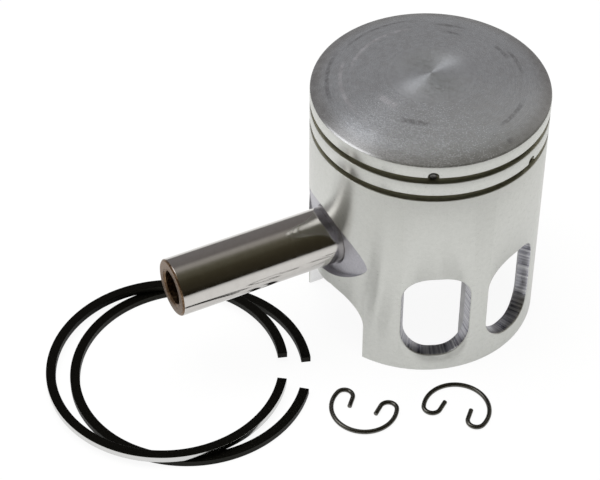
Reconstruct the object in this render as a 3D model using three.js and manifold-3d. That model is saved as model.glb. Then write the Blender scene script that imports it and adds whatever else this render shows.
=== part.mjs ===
// Two-stroke piston for a 40 mm bore, with its wrist pin, two piston rings, two ring
// locating pegs and two wire circlips, laid out as a fresh set on a bench: the pin stands
// part way in its bore, the rings and circlips lie beside the skirt.
//
// Millimetres, +Z up. The origin is the centre of the crown, the highest point, because a
// piston's lands, grooves and pin are all dimensioned down from there. The wrist pin lies
// along X and is drawn out towards -X; the two intake windows face -Y.

import * as THREE from 'three';
import { mergeVertices } from 'three/addons/utils/BufferGeometryUtils.js';
import Module from 'manifold-3d';

// ---------------------------------------------------------------- piston body
const BORE_DIAMETER = 40;
const SKIRT_LENGTH = 47.2; // rim of the crown to the skirt's base
const DOME_HEIGHT = 3; // centre of the crown above its rim
const SQUISH_BAND_WIDTH = 3.8; // outer conical band of the crown
const SQUISH_BAND_DROP = 1.25;
const CROWN_FLAT_RADIUS = 1.5; // faced spot at the lathe centre
const CROWN_THICKNESS = 4.5;
const EDGE_CHAMFER = 0.3;
const SKIRT_WALL = 2.5;
const RING_BELT_WALL = 5;
const RING_BELT_LENGTH = 11; // rim to where the thick belt starts to thin
const BELT_TAPER_LENGTH = 4;
const UNDERCROWN_RADIUS = 3;

// ---------------------------------------------------------------- rings, grooves and pegs
const RING_HEIGHT = 1.2;
const RING_RADIAL = 1.65;
const RING_SIDE_CLEARANCE = 0.03;
const RING_BACK_CLEARANCE = 0.2;
const RING_SPRING_OUT = 0.89; // how far a free ring's radius stands out beyond the bore's
const TOP_RING_FREE_GAP = 6.1;
const SECOND_RING_FREE_GAP = 7.5;
const TOP_LAND = 2.35;
const SECOND_LAND = 2.52;
const GROOVE_EDGE_BREAK = 0.1;
const PEG_DIAMETER = 1.2;
const PEG_SEAT_DEPTH = 1.8; // peg length held behind the groove's root
const PEG_STAND_OUT = 0.8; // peg length standing in the groove
const PEG_CLEARANCE = 0.02;
const PEG_SLOT_WIDTH = 1.75;
const PEG_SLOT_RISE = 1.1; // slot's round end above the groove's upper flank
const PEG_SLOT_DEPTH = 2.4;
const PEG_ANGLE = 27.5; // degrees either side of the intake direction

// ---------------------------------------------------------------- wrist pin, bosses, circlips
const COMPRESSION_HEIGHT = 25.6; // rim of the crown to the pin's axis
const PIN_DIAMETER = 10;
const PIN_HOLE_DIAMETER = 5.9;
const PIN_LENGTH = 33;
const PIN_CHAMFER = 0.3;
const PIN_CLEARANCE = 0.03;
const PIN_INSERTION = 3.65; // how far the pin stands in its boss as laid out
const BOSS_WALL = 4.2;
const BOSS_GAP = 15; // between the bosses, for the connecting rod
const BOSS_WEB_WIDTH = 9;
const POCKET_DEPTH = 1.35; // the boss face below the skirt, on the pin's axis
const POCKET_HALF_WIDTH = 10.65;
const POCKET_HALF_HEIGHT = 7.1;
const POCKET_FULLNESS = { upper: 1.65, lower: 1.45 }; // 2 would be an ellipse, 1 a rhombus
const POCKET_RUN_OUT = 0.3; // the pocket's floor would meet the skirt this far past its tips
const BORE_CHAMFER = 0.6;
const WIRE_DIAMETER = 0.8;
const CIRCLIP_END_PLAY = 0.2;
const CIRCLIP_GROOVE_DEPTH = 0.45;
const CIRCLIP_FREE_PLAY = 1; // free wire centre line outside the pin's radius less the wire
const CIRCLIP_HALF_ARC = 106; // degrees of main arc either side of its middle
const CIRCLIP_HOOK_RADIUS = 1.45;
const CIRCLIP_HOOK_ANGLE = 159;
const CIRCLIP_TAIL = 2.1;

// ---------------------------------------------------------------- skirt openings
const WINDOW_WIDTH = 12;
const WINDOW_HEIGHT = 18.1;
const WINDOW_BASE = 3.85; // skirt left below the windows
const WINDOW_CORNER = 5.2;
const WINDOW_POST = 3.5; // skirt left between the two windows
const POST_RIB_WIDTH = 3.2;
const POST_RIB_DEPTH = 4.6; // skirt and rib together
const CUTAWAY_WIDTH = 20.3; // open skirt under each pin boss
const CUTAWAY_CORNER = 5;
const CUTAWAY_BELOW_PIN = 8.9;

// ---------------------------------------------------------------- layout of the loose pieces
const RING_TO_SKIRT = 4.55;
const SECOND_RING_Y = -0.63;
const TOP_RING_SHIFT = new THREE.Vector2(-3.72, 1.63); // from the second ring's centre
const RESTING_GAP = 0.05; // between the two rings where one lies on the other
const TOP_RING_GAP_DIRECTION = -26.7; // degrees from +X
const SECOND_RING_GAP_DIRECTION = -28.8;
const CIRCLIP_LAYOUT = [
  { name: 'circlip_left', toSkirt: 10.75, direction: -136.7, turn: -137.6 },
  { name: 'circlip_right', toSkirt: 9.73, direction: -106.6, turn: 40.3 },
];

// ---------------------------------------------------------------- fineness
const ROUND_STEPS = 60;
const SMALL_ROUND_STEPS = 32;
const CORNER_STEPS = 5;
const WIRE_SIDES = 8;

// ---------------------------------------------------------------- derived places
const pistonRadius = BORE_DIAMETER / 2;
const rimZ = -DOME_HEIGHT;
const baseZ = rimZ - SKIRT_LENGTH;
const pinZ = rimZ - COMPRESSION_HEIGHT;
const pinRadius = PIN_DIAMETER / 2;
const boreRadius = pinRadius + PIN_CLEARANCE;
const bossFaceX = pistonRadius - POCKET_DEPTH;
const bossRadius = pinRadius + BOSS_WALL;
const freeRingRadius = pistonRadius + RING_SPRING_OUT;
const grooveHeight = RING_HEIGHT + 2 * RING_SIDE_CLEARANCE;
const grooveRootRadius = pistonRadius - RING_RADIAL - RING_BACK_CLEARANCE;
const grooveTopsZ = [rimZ - TOP_LAND, rimZ - TOP_LAND - grooveHeight - SECOND_LAND];
const beyond = pistonRadius + 4; // clear of the body, for cutters

const degrees = THREE.MathUtils.degToRad;
const wasm = await Module();
wasm.setup();

// ---------------------------------------------------------------- solids from geometries

// Turns a closed three.js geometry into a solid: vertices that share a place are joined, and
// triangles that shrank to a line at a lathe's axis are left out.
function solid(geometry) {
  const bare = new THREE.BufferGeometry();
  bare.setAttribute('position', geometry.getAttribute('position').clone());
  if (geometry.index) bare.setIndex(geometry.index.clone());
  const merged = mergeVertices(bare, 1e-4);
  const index = merged.index.array;
  const triVerts = [];
  for (let i = 0; i < index.length; i += 3) {
    const [a, b, c] = index.slice(i, i + 3);
    if (a !== b && b !== c && c !== a) triVerts.push(a, b, c);
  }
  return new wasm.Manifold(new wasm.Mesh({
    numProp: 3,
    vertProperties: new Float32Array(merged.getAttribute('position').array),
    triVerts: new Uint32Array(triVerts),
  }));
}

function geometryOf(manifold) {
  const { vertProperties, triVerts } = manifold.getMesh();
  const geometry = new THREE.BufferGeometry();
  geometry.setAttribute('position', new THREE.BufferAttribute(new Float32Array(vertProperties), 3));
  geometry.setIndex(new THREE.BufferAttribute(new Uint32Array(triVerts), 1));
  geometry.computeVertexNormals();
  return geometry;
}

const joined = (solids) => solids.reduce((whole, next) => whole.add(next));

// A solid of revolution about Z. The profile lists [radius, z], upwards on the outside.
function turned(profile, steps = ROUND_STEPS) {
  const points = profile.map(([radius, z]) => new THREE.Vector2(radius, z));
  return new THREE.LatheGeometry(points, steps).rotateX(Math.PI / 2);
}

// A plain round bar along Z or X between two ends.
function barAlongZ(radius, z0, z1, steps = ROUND_STEPS) {
  return turned([[0, z0], [radius, z0], [radius, z1], [0, z1]], steps);
}

function barAlongX(radius, x0, x1, z, steps = SMALL_ROUND_STEPS) {
  return barAlongZ(radius, x0, x1, steps).rotateY(Math.PI / 2).translate(0, 0, z);
}

// A shape drawn in Y (across) and Z (up), carried along X between two ends.
function prismAlongX(shape, x0, x1) {
  const geometry = new THREE.ExtrudeGeometry(shape, {
    depth: x1 - x0, bevelEnabled: false, curveSegments: CORNER_STEPS,
  });
  return geometry.rotateX(Math.PI / 2).rotateZ(Math.PI / 2).translate(x0, 0, 0);
}

function roundedRectangle(width, bottom, top, radius) {
  const half = width / 2;
  const corner = Math.min(radius, half, (top - bottom) / 2);
  const shape = new THREE.Shape();
  shape.absarc(half - corner, top - corner, corner, 0, Math.PI / 2);
  shape.absarc(-half + corner, top - corner, corner, Math.PI / 2, Math.PI);
  shape.absarc(-half + corner, bottom + corner, corner, Math.PI, Math.PI * 1.5);
  shape.absarc(half - corner, bottom + corner, corner, Math.PI * 1.5, Math.PI * 2);
  return shape;
}

// A shape drawn on the piston's side, as arc length at its surface and height, cut straight
// towards the axis between two radii. Its side walls run along radii, as a cored port's do.
function radialPrism(shape, direction, innerRadius, outerRadius) {
  const outline = shape.getPoints(CORNER_STEPS);
  if (outline[0].distanceTo(outline[outline.length - 1]) < 1e-6) outline.pop();
  const place = (radius) => outline.flatMap(({ x, y }) => {
    const angle = direction + x / pistonRadius;
    return [radius * Math.cos(angle), radius * Math.sin(angle), y];
  });
  const count = outline.length;
  const index = [];
  for (const [a, b, c] of THREE.ShapeUtils.triangulateShape(outline, [])) {
    index.push(a + count, b + count, c + count, c, b, a);
  }
  for (let i = 0; i < count; i += 1) {
    const next = (i + 1) % count;
    index.push(i, next, next + count, i, next + count, i + count);
  }
  const geometry = new THREE.BufferGeometry();
  const vertices = [...place(innerRadius), ...place(outerRadius)];
  geometry.setAttribute('position', new THREE.Float32BufferAttribute(vertices, 3));
  geometry.setIndex(index);
  return geometry;
}

// ---------------------------------------------------------------- piston body

// One ring groove's outline, from its lower edge round its root to its upper edge.
function grooveProfile(topZ) {
  const bottomZ = topZ - grooveHeight;
  return [
    [pistonRadius, bottomZ - GROOVE_EDGE_BREAK],
    [pistonRadius - GROOVE_EDGE_BREAK, bottomZ],
    [grooveRootRadius, bottomZ],
    [grooveRootRadius, topZ],
    [pistonRadius - GROOVE_EDGE_BREAK, topZ],
    [pistonRadius, topZ + GROOVE_EDGE_BREAK],
  ];
}

// The crown's section from its rim to the axis: a conical squish band, then a shallow dome
// that ends in the small faced spot.
function crownProfile() {
  const domeRadius = pistonRadius - SQUISH_BAND_WIDTH;
  const domeBaseZ = rimZ + SQUISH_BAND_DROP;
  const profile = [[pistonRadius, rimZ - EDGE_CHAMFER], [pistonRadius - EDGE_CHAMFER, rimZ]];
  const steps = 6;
  for (let i = 0; i <= steps; i += 1) {
    const radius = THREE.MathUtils.lerp(domeRadius, CROWN_FLAT_RADIUS, i / steps);
    const across = (radius - CROWN_FLAT_RADIUS) / (domeRadius - CROWN_FLAT_RADIUS);
    profile.push([radius, domeBaseZ * across * across]);
  }
  profile.push([0, 0]);
  return profile;
}

// The cavity's section from below the skirt's mouth up to the axis under the crown.
function cavityProfile() {
  const beltRadius = pistonRadius - RING_BELT_WALL;
  const skirtRadius = pistonRadius - SKIRT_WALL;
  const cornerZ = -CROWN_THICKNESS - DOME_HEIGHT / 2;
  const profile = [
    [0, baseZ - 1],
    [skirtRadius + EDGE_CHAMFER + 1, baseZ - 1],
    [skirtRadius, baseZ + EDGE_CHAMFER],
    [skirtRadius, rimZ - RING_BELT_LENGTH - BELT_TAPER_LENGTH],
    [beltRadius, rimZ - RING_BELT_LENGTH],
  ];
  for (let i = 0; i <= 3; i += 1) {
    const angle = (Math.PI / 6) * i;
    profile.push([
      beltRadius - UNDERCROWN_RADIUS * (1 - Math.cos(angle)),
      cornerZ - UNDERCROWN_RADIUS * (1 - Math.sin(angle)),
    ]);
  }
  profile.push([0, -CROWN_THICKNESS]);
  return profile;
}

function outerBody() {
  return solid(turned([
    [0, baseZ],
    [pistonRadius - EDGE_CHAMFER, baseZ],
    [pistonRadius, baseZ + EDGE_CHAMFER],
    ...grooveProfile(grooveTopsZ[1]),
    ...grooveProfile(grooveTopsZ[0]),
    ...crownProfile(),
  ]));
}

const bossBars = () => solid(barAlongX(bossRadius, -beyond, -BOSS_GAP / 2, pinZ))
  .add(solid(barAlongX(bossRadius, BOSS_GAP / 2, beyond, pinZ)));

// The web that hangs each boss from the crown.
function bossWebs() {
  const height = -pinZ;
  const length = beyond - BOSS_GAP / 2;
  return joined([-1, 1].map((side) => solid(new THREE.BoxGeometry(length, BOSS_WEB_WIDTH, height)
    .translate(side * (beyond + BOSS_GAP / 2) / 2, 0, pinZ + height / 2))));
}

// The hollow under the crown, round the bosses, their webs and the rib behind the windows.
function hollow() {
  return solid(turned(cavityProfile()))
    .subtract(bossBars())
    .subtract(bossWebs())
    .subtract(postRib());
}

// The pin's bore with its chamfered mouths and the two circlip grooves, as one cutter.
function pinBore() {
  const grooveMiddle = PIN_LENGTH / 2 + CIRCLIP_END_PLAY + WIRE_DIAMETER / 2;
  const grooveRadius = boreRadius + CIRCLIP_GROOVE_DEPTH;
  const cutters = [solid(barAlongX(boreRadius, -beyond, beyond, pinZ))];
  for (const side of [-1, 1]) {
    const start = side * grooveMiddle - WIRE_DIAMETER / 2;
    cutters.push(solid(barAlongX(grooveRadius, start, start + WIRE_DIAMETER, pinZ)));
    const mouth = turned([
      [0, bossFaceX - BORE_CHAMFER],
      [boreRadius, bossFaceX - BORE_CHAMFER],
      [boreRadius + 2 * BORE_CHAMFER, bossFaceX + BORE_CHAMFER],
      [0, bossFaceX + BORE_CHAMFER],
    ], SMALL_ROUND_STEPS);
    cutters.push(solid(mouth.rotateY((side * Math.PI) / 2).translate(0, 0, pinZ)));
  }
  return joined(cutters);
}

// The pocket's outline, an eye with its tips level with the pin: a superellipse whose upper
// half is a little fuller than its lower half.
function pocketOutline() {
  const points = Array.from({ length: SMALL_ROUND_STEPS * 2 }, (_, i) => {
    const angle = (Math.PI * i) / SMALL_ROUND_STEPS;
    const [across, up] = [Math.cos(angle), Math.sin(angle)];
    const power = 2 / (up > 0 ? POCKET_FULLNESS.upper : POCKET_FULLNESS.lower);
    return new THREE.Vector2(
      POCKET_HALF_WIDTH * Math.sign(across) * Math.abs(across) ** power,
      pinZ + POCKET_HALF_HEIGHT * Math.sign(up) * Math.abs(up) ** power);
  });
  return new THREE.Shape(points);
}

// The shallow pocket round each end of the bore. Its floor is flatter than the skirt, so the
// ledge round it fades out towards the tips.
function bossPockets() {
  const shape = pocketOutline();
  const meetsAtY = POCKET_HALF_WIDTH + POCKET_RUN_OUT;
  const sag = bossFaceX - Math.sqrt(pistonRadius ** 2 - meetsAtY ** 2);
  const floorRadius = (meetsAtY ** 2 + sag ** 2) / (2 * sag);
  const top = pinZ + POCKET_HALF_HEIGHT + 1;
  const floor = barAlongZ(floorRadius, pinZ - POCKET_HALF_HEIGHT - 1, top, 2 * ROUND_STEPS);
  return joined([-1, 1].map((side) => {
    const [x0, x1] = side < 0 ? [-beyond, -1] : [1, beyond];
    const core = solid(floor.clone().translate(side * (bossFaceX - floorRadius), 0, 0));
    return solid(prismAlongX(shape, x0, x1)).subtract(core);
  }));
}

function skirtCutaways() {
  const topZ = pinZ - CUTAWAY_BELOW_PIN;
  const bottomZ = baseZ - 2 * CUTAWAY_CORNER;
  const shape = roundedRectangle(CUTAWAY_WIDTH, bottomZ, topZ, CUTAWAY_CORNER);
  const clearOfRod = pistonRadius / 2;
  return solid(prismAlongX(shape, -beyond, -clearOfRod))
    .add(solid(prismAlongX(shape, clearOfRod, beyond)))
    .subtract(bossBars());
}

// Two ports either side of the intake direction, -Y, and the rib that stiffens their post.
function intakeWindows() {
  const bottomZ = baseZ + WINDOW_BASE;
  const shape = roundedRectangle(WINDOW_WIDTH, bottomZ, bottomZ + WINDOW_HEIGHT, WINDOW_CORNER);
  const offset = (WINDOW_WIDTH + WINDOW_POST) / 2 / pistonRadius;
  const inner = pistonRadius - POST_RIB_DEPTH - 1;
  return joined([-offset, offset].map((turn) => (
    solid(radialPrism(shape, turn - Math.PI / 2, inner, beyond)))));
}

function postRib() {
  const bottomZ = baseZ + WINDOW_BASE / 2;
  const topZ = baseZ + WINDOW_BASE + WINDOW_HEIGHT + WINDOW_BASE / 2;
  const shape = roundedRectangle(POST_RIB_WIDTH, bottomZ, topZ, POST_RIB_WIDTH / 2);
  return solid(radialPrism(shape, -Math.PI / 2, pistonRadius - POST_RIB_DEPTH, beyond));
}

// Where each ring's peg stands: on its groove's middle, to one side of the intake direction.
const pegPlaces = [
  { name: 'ring_peg_upper', topZ: grooveTopsZ[0], direction: degrees(-90 - PEG_ANGLE) },
  { name: 'ring_peg_lower', topZ: grooveTopsZ[1], direction: degrees(-90 + PEG_ANGLE) },
];

function pegCuts() {
  const seatRadius = grooveRootRadius - PEG_SEAT_DEPTH - PEG_CLEARANCE;
  return joined(pegPlaces.flatMap(({ topZ, direction }) => {
    const slotTop = topZ + PEG_SLOT_RISE;
    const slotBottom = topZ - grooveHeight;
    const slot = roundedRectangle(PEG_SLOT_WIDTH, slotBottom - PEG_SLOT_WIDTH, slotTop, PEG_SLOT_WIDTH / 2);
    const band = solid(barAlongZ(beyond, slotBottom, slotTop + 1));
    const cut = solid(radialPrism(slot, direction, pistonRadius - PEG_SLOT_DEPTH, beyond)).intersect(band);
    const radius = PEG_DIAMETER / 2 + PEG_CLEARANCE;
    const hole = barAlongX(radius, seatRadius, pistonRadius, topZ - grooveHeight / 2, 16).rotateZ(direction);
    return [cut, solid(hole)];
  }));
}

function pistonBody() {
  return outerBody()
    .subtract(hollow())
    .subtract(skirtCutaways())
    .subtract(intakeWindows())
    .subtract(bossPockets())
    .subtract(pinBore())
    .subtract(pegCuts());
}

// ---------------------------------------------------------------- smaller pieces

function ringPeg({ topZ, direction }) {
  const inner = grooveRootRadius - PEG_SEAT_DEPTH;
  const outer = grooveRootRadius + PEG_STAND_OUT;
  return solid(barAlongX(PEG_DIAMETER / 2, inner, outer, topZ - grooveHeight / 2, 16).rotateZ(direction));
}

// A ring as it lies out of the bore, sprung open round its gap.
function pistonRing(freeGap, gapDirection) {
  const outer = freeRingRadius;
  const inner = outer - RING_RADIAL;
  const halfGap = freeGap / 2 / outer;
  const start = degrees(gapDirection) + halfGap;
  const end = degrees(gapDirection) - halfGap + 2 * Math.PI;
  const shape = new THREE.Shape();
  shape.absarc(0, 0, outer, start, end, false);
  shape.absarc(0, 0, inner, end, start, true);
  shape.closePath();
  return solid(new THREE.ExtrudeGeometry(shape, {
    depth: RING_HEIGHT, bevelEnabled: false, curveSegments: ROUND_STEPS / 2,
  }));
}

function wristPin() {
  const half = PIN_LENGTH / 2;
  const hole = PIN_HOLE_DIAMETER / 2;
  const profile = [
    [hole, PIN_CHAMFER - half],
    [hole + PIN_CHAMFER, -half],
    [pinRadius - PIN_CHAMFER, -half],
    [pinRadius, PIN_CHAMFER - half],
    [pinRadius, half - PIN_CHAMFER],
    [pinRadius - PIN_CHAMFER, half],
    [hole + PIN_CHAMFER, half],
    [hole, half - PIN_CHAMFER],
    [hole, PIN_CHAMFER - half],
  ];
  return solid(turned(profile, SMALL_ROUND_STEPS).rotateY(Math.PI / 2));
}

// The circlip's centre line in its own plane: a main arc about the origin with its middle on
// +X, then at each end a tight hook turned inwards and a short straight tail.
class CirclipLine extends THREE.Curve {
  constructor() {
    super();
    this.radius = pinRadius - WIRE_DIAMETER / 2 + CIRCLIP_FREE_PLAY;
    this.arc = this.radius * degrees(CIRCLIP_HALF_ARC);
    this.hook = CIRCLIP_HOOK_RADIUS * degrees(CIRCLIP_HOOK_ANGLE);
    this.half = this.arc + this.hook + CIRCLIP_TAIL;
  }

  getPoint(t, target = new THREE.Vector3()) {
    const along = (2 * t - 1) * this.half;
    const side = Math.sign(along) || 1;
    const length = Math.abs(along);
    const arcAngle = Math.min(length, this.arc) / this.radius;
    if (length <= this.arc) {
      return target.set(this.radius * Math.cos(arcAngle), side * this.radius * Math.sin(arcAngle), 0);
    }
    const hookAngle = arcAngle + Math.min(length - this.arc, this.hook) / CIRCLIP_HOOK_RADIUS;
    const tail = Math.max(0, length - this.arc - this.hook);
    const pivot = this.radius - CIRCLIP_HOOK_RADIUS;
    const x = pivot * Math.cos(arcAngle) + CIRCLIP_HOOK_RADIUS * Math.cos(hookAngle) - tail * Math.sin(hookAngle);
    const y = pivot * Math.sin(arcAngle) + CIRCLIP_HOOK_RADIUS * Math.sin(hookAngle) + tail * Math.cos(hookAngle);
    return target.set(x, side * y, 0);
  }
}

function circlip() {
  const radius = WIRE_DIAMETER / 2;
  const corners = Array.from({ length: WIRE_SIDES }, (_, i) => {
    const angle = (2 * Math.PI * i) / WIRE_SIDES;
    return new THREE.Vector2(radius * Math.cos(angle), radius * Math.sin(angle));
  });
  const wire = new THREE.ExtrudeGeometry(new THREE.Shape(corners), {
    steps: 44, extrudePath: new CirclipLine(), bevelEnabled: false,
  });
  return solid(wire);
}

// ---------------------------------------------------------------- finishes

const finishes = {
  aluminium: { color: '#c4c6c0', roughness: 0.35, metalness: 1 },
  chromedRing: { color: '#1d1e1a', roughness: 0.5, metalness: 0.6 },
  darkRing: { color: '#151513', roughness: 0.55, metalness: 0.5 },
  polishedSteel: { color: '#8d8886', roughness: 0.15, metalness: 1 },
  springSteel: { color: '#3c3a33', roughness: 0.35, metalness: 0.9 },
  pegSteel: { color: '#5a5a58', roughness: 0.4, metalness: 1 },
};

function piece(name, manifold, finish) {
  const mesh = new THREE.Mesh(geometryOf(manifold), new THREE.MeshStandardMaterial(finishes[finish]));
  mesh.name = name;
  return mesh;
}

// ---------------------------------------------------------------- the set

const pistonSet = new THREE.Group();
pistonSet.add(piece('piston_body', pistonBody(), 'aluminium'));
for (const place of pegPlaces) pistonSet.add(piece(place.name, ringPeg(place), 'pegSteel'));

const pin = piece('wrist_pin', wristPin(), 'polishedSteel');
pin.position.set(-(bossFaceX - PIN_INSERTION + PIN_LENGTH / 2), 0, pinZ);
pistonSet.add(pin);

const secondCentre = new THREE.Vector2(-(pistonRadius + RING_TO_SKIRT + freeRingRadius), SECOND_RING_Y);
const secondRing = piece(
  'compression_ring_second', pistonRing(SECOND_RING_FREE_GAP, SECOND_RING_GAP_DIRECTION), 'darkRing');
secondRing.position.set(secondCentre.x, secondCentre.y, baseZ);
pistonSet.add(secondRing);

// The top ring lies level on the second one, which it crosses on both sides.
const topRing = piece(
  'compression_ring_top', pistonRing(TOP_RING_FREE_GAP, TOP_RING_GAP_DIRECTION), 'chromedRing');
topRing.position.set(
  secondCentre.x + TOP_RING_SHIFT.x, secondCentre.y + TOP_RING_SHIFT.y, baseZ + RING_HEIGHT + RESTING_GAP);
pistonSet.add(topRing);

for (const { name, toSkirt, direction, turn } of CIRCLIP_LAYOUT) {
  const clip = piece(name, circlip(), 'springSteel');
  const distance = pistonRadius + toSkirt;
  const angle = degrees(direction);
  clip.position.set(distance * Math.cos(angle), distance * Math.sin(angle), baseZ + WIRE_DIAMETER / 2);
  clip.rotation.z = degrees(turn);
  pistonSet.add(clip);
}

export default pistonSet;
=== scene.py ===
# %% [markdown]
# # A two-stroke piston set in turned aluminium and steel
# The set is a scooter piston standing on its skirt, with its wrist pin half drawn out and
# its two rings and two circlips laid beside it. Everything on it is metal, and most of it
# was turned on a lathe, so nearly every surface is a profile carried round an axis. That
# is how the pieces are made here: numpy works out each surface as a whole grid of points,
# and the openings in the piston are cut with solids made in the same way.

# %% Load the engineering model as the frame
import math

import bmesh
import bpy
import numpy as np
from mathutils import Matrix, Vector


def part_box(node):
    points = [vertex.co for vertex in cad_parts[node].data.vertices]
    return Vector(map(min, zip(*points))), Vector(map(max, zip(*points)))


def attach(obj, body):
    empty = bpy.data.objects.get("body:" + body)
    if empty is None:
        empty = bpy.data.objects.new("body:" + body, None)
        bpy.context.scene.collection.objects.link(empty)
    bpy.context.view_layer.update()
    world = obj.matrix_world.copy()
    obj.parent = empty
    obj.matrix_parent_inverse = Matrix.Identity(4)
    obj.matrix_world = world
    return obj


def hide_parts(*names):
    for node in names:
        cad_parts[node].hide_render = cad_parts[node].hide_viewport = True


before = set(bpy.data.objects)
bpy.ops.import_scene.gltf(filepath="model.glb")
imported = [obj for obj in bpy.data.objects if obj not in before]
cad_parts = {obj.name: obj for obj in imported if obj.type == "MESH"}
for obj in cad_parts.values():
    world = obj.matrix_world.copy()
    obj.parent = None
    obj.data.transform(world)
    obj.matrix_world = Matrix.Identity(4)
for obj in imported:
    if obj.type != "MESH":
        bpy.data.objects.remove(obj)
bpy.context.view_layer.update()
MM = 0.001
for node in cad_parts:
    low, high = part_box(node)
    print(node, [round((b - a) / MM, 2) for a, b in zip(low, high)], "mm")

# %% [markdown]
# The origin is the centre of the crown, +Z is up and the pin lies along X. The heights
# that several steps need are read from the model's own boxes, so the looks can't drift
# away from the engineering. The rest are the workshop's sizes, in millimetres.

# %% Main sizes
pin_low, pin_high = (np.array(corner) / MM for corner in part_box("wrist_pin"))
BASE_Z = np.array(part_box("piston_body")[0])[2] / MM
SKIRT_R = 20.0
RIM_Z = -3.0
PIN_Z = (pin_low[2] + pin_high[2]) / 2
PIN_R = 5.0
PIN_LENGTH = 33.0
RING_HEIGHT = 1.2
RING_RADIAL = 1.65
print("base", BASE_Z, "pin axis", PIN_Z, "pin spans", pin_low[0], pin_high[0])

# %% [markdown]
# ## Camera
# A long lens from well back keeps the cylinder's sides nearly parallel, as product
# pictures of small parts do. The camera looks down at about 44 degrees, so the whole
# crown and the mouth of the pin both show.

# %% Camera
camera_data = bpy.data.cameras.new("camera")
camera_data.sensor_width = 36.0
camera_data.lens = 125.08
camera_data.clip_start = 0.01
camera = bpy.data.objects.new("camera", camera_data)
bpy.context.scene.collection.objects.link(camera)
camera.location = np.array([-137.67, -228.49, 216.49]) * MM
camera.rotation_euler = (math.radians(90 - 43.746), 0.0, math.radians(-26.43))
bpy.context.scene.camera = camera
print("camera at", [round(c, 4) for c in camera.location])

# %% [markdown]
# ## Floor and light
# Bare metal has almost no colour of its own: it shows its surroundings. So the
# surroundings are designed first. The floor is white paper under a broad soft lamp. The
# lamp lights the paper but is hidden from reflections, because a bare rectangle mirrored
# in every edge would look like a computer's light. What the metal sees above the paper
# is a quiet room: dim behind the camera, a pale strip of ceiling, a grey far wall, and one
# soft window high on the left, which is what stretches into the bright streaks that turned
# metal shows.

# %% Node helpers
def new_material(name):
    """An empty node material and its tree."""
    material = bpy.data.materials.new(name)
    material.use_nodes = True
    material.node_tree.nodes.clear()
    return material, material.node_tree


def node(tree, kind, **inputs):
    """A node of that kind. Inputs are values to set or output sockets to link."""
    made = tree.nodes.new(kind)
    for key, value in inputs.items():
        socket = made.inputs[int(key[1:])] if key[0] == "i" and key[1:].isdigit() \
            else made.inputs[key.replace("_", " ")]
        if isinstance(value, bpy.types.NodeSocket):
            tree.links.new(value, socket)
        else:
            socket.default_value = value
    return made


def calc(tree, operation, *values, clamp=False):
    """A Math node's result."""
    made = tree.nodes.new("ShaderNodeMath")
    made.operation = operation
    made.use_clamp = clamp
    for socket, value in zip(made.inputs, values):
        if isinstance(value, bpy.types.NodeSocket):
            tree.links.new(value, socket)
        else:
            socket.default_value = value
    return made.outputs[0]


def span(tree, value, low, high, to_low=0.0, to_high=1.0, smooth=True):
    """A value carried from one range to another, easing in and out, never beyond it."""
    made = tree.nodes.new("ShaderNodeMapRange")
    made.interpolation_type = "SMOOTHSTEP" if smooth else "LINEAR"
    tree.links.new(value, made.inputs[0])
    for socket, number in zip(list(made.inputs)[1:5], (low, high, to_low, to_high)):
        socket.default_value = number
    return made.outputs[0]


def ramp(tree, value, stops, ease="LINEAR"):
    """A Color Ramp's colour, from (position, colour or grey) stops."""
    made = tree.nodes.new("ShaderNodeValToRGB")
    made.color_ramp.interpolation = ease
    tree.links.new(value, made.inputs[0])
    elements = made.color_ramp.elements
    while len(elements) < len(stops):
        elements.new(0.5)
    for element, (position, colour) in zip(elements, stops):
        element.position = position
        grey = (colour,) * 3 if isinstance(colour, (int, float)) else colour
        element.color = (*grey, 1.0)
    return made.outputs[0]


def mixed(tree, share, base, over):
    """One colour laid over another where the mask is 1."""
    made = tree.nodes.new("ShaderNodeMix")
    made.data_type = "RGBA"
    tree.links.new(share, made.inputs[0])
    for socket, colour in ((made.inputs[6], base), (made.inputs[7], over)):
        if isinstance(colour, bpy.types.NodeSocket):
            tree.links.new(colour, socket)
        else:
            socket.default_value = (*colour, 1.0)
    return made.outputs[2]


# %% The room that the metal mirrors
world = bpy.data.worlds.new("quiet_room")
bpy.context.scene.world = world
world.use_nodes = True
room = world.node_tree
room.nodes.clear()
direction = node(room, "ShaderNodeSeparateXYZ", Vector=node(
    room, "ShaderNodeTexCoord").outputs["Generated"])
towards_wall = span(room, direction.outputs["Y"], -1.0, 1.0, smooth=False)
WALL_STOPS = [
    (0.00, (0.012, 0.010, 0.006)), (0.04, (0.036, 0.031, 0.020)), (0.10, (0.042, 0.036, 0.022)),
    (0.22, (0.060, 0.053, 0.033)), (0.32, (0.098, 0.090, 0.062)), (0.42, (0.125, 0.116, 0.084)),
    (0.50, (0.20, 0.19, 0.155)), (0.58, (0.38, 0.36, 0.33)), (0.66, (0.40, 0.38, 0.36)),
    (0.76, (0.21, 0.195, 0.19)), (1.00, (0.235, 0.222, 0.222)),
]
wall_colour = ramp(room, towards_wall, WALL_STOPS)
camera_ray = node(room, "ShaderNodeLightPath").outputs["Is Camera Ray"]
seen = mixed(room, camera_ray, wall_colour, (1.0, 1.0, 1.0))
background = node(room, "ShaderNodeBackground", Color=seen, Strength=1.0)

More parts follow.
